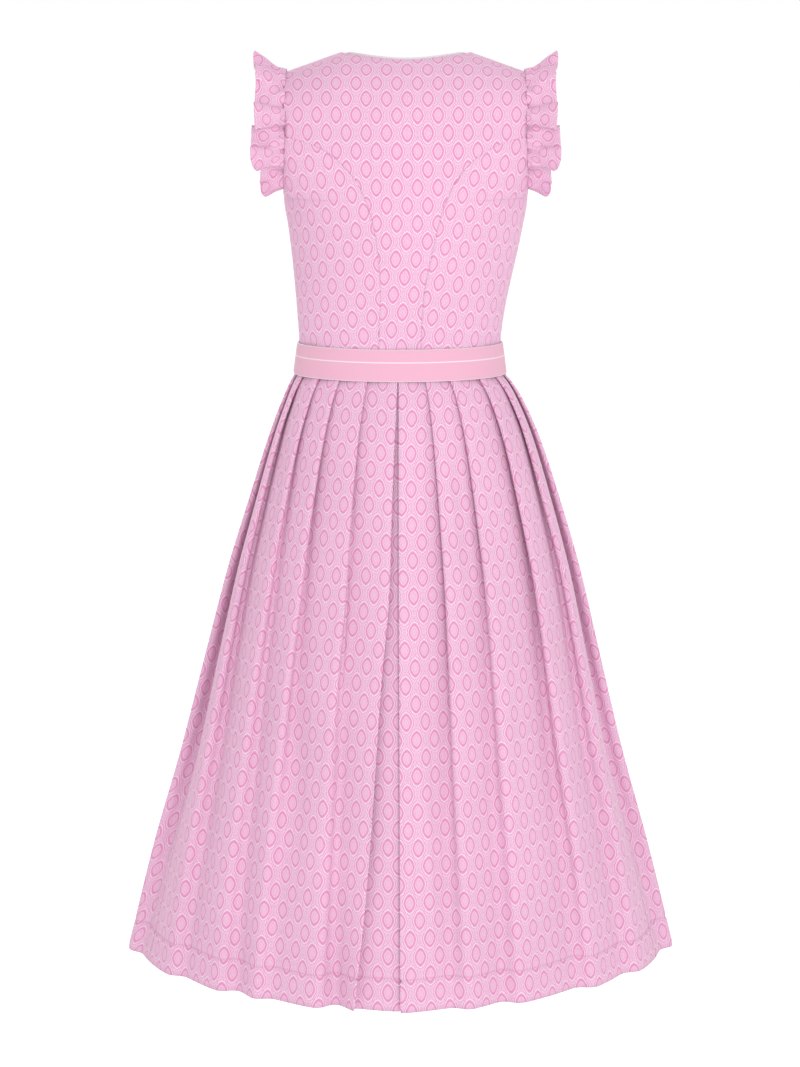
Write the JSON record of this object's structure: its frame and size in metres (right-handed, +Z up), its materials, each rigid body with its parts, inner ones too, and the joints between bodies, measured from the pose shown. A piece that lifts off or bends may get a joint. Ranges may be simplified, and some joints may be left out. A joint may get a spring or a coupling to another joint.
{
  "type": "sleeveless dirndl dress",
  "caption": "Sleeveless dirndl dress in its worn shape, with princess-seamed bodice, gathered armhole ruffles, ribbon belt and knife-pleated skirt, open at neck, arms and hem.",
  "frame": {"origin": "midway between the two shoulder seams, where the wearer's shoulders hold the dress", "axes": "+Z up towards the neck, +Y out of the front of the dress, +X towards the wearer's right side"},
  "size_m": [0.6964, 0.5899, 1.1413],
  "materials": {
    "patterned_cloth": "woven cotton jacquard, matt with a soft sheen",
    "facing_cloth": "plain pale lining cloth, matt",
    "ribbon": "ribbed grosgrain ribbon, soft satin",
    "button": "satin gloss"
  },
  "bodies": {
    "root": {"back_center": "patterned_cloth", "back_side_left": "patterned_cloth", "back_side_right": "patterned_cloth", "front_side_left": "patterned_cloth", "front_side_right": "patterned_cloth", "front_center_left": "patterned_cloth", "front_center_right": "patterned_cloth", "neck_facing": "facing_cloth", "ruffle_left": "patterned_cloth", "ruffle_right": "patterned_cloth", "ribbon_belt": "ribbon", "skirt_back": "patterned_cloth", "skirt_front": "patterned_cloth", "button_1": "button", "button_2": "button", "button_3": "button", "button_4": "button", "button_5": "button"}
  },
  "joints": []
}
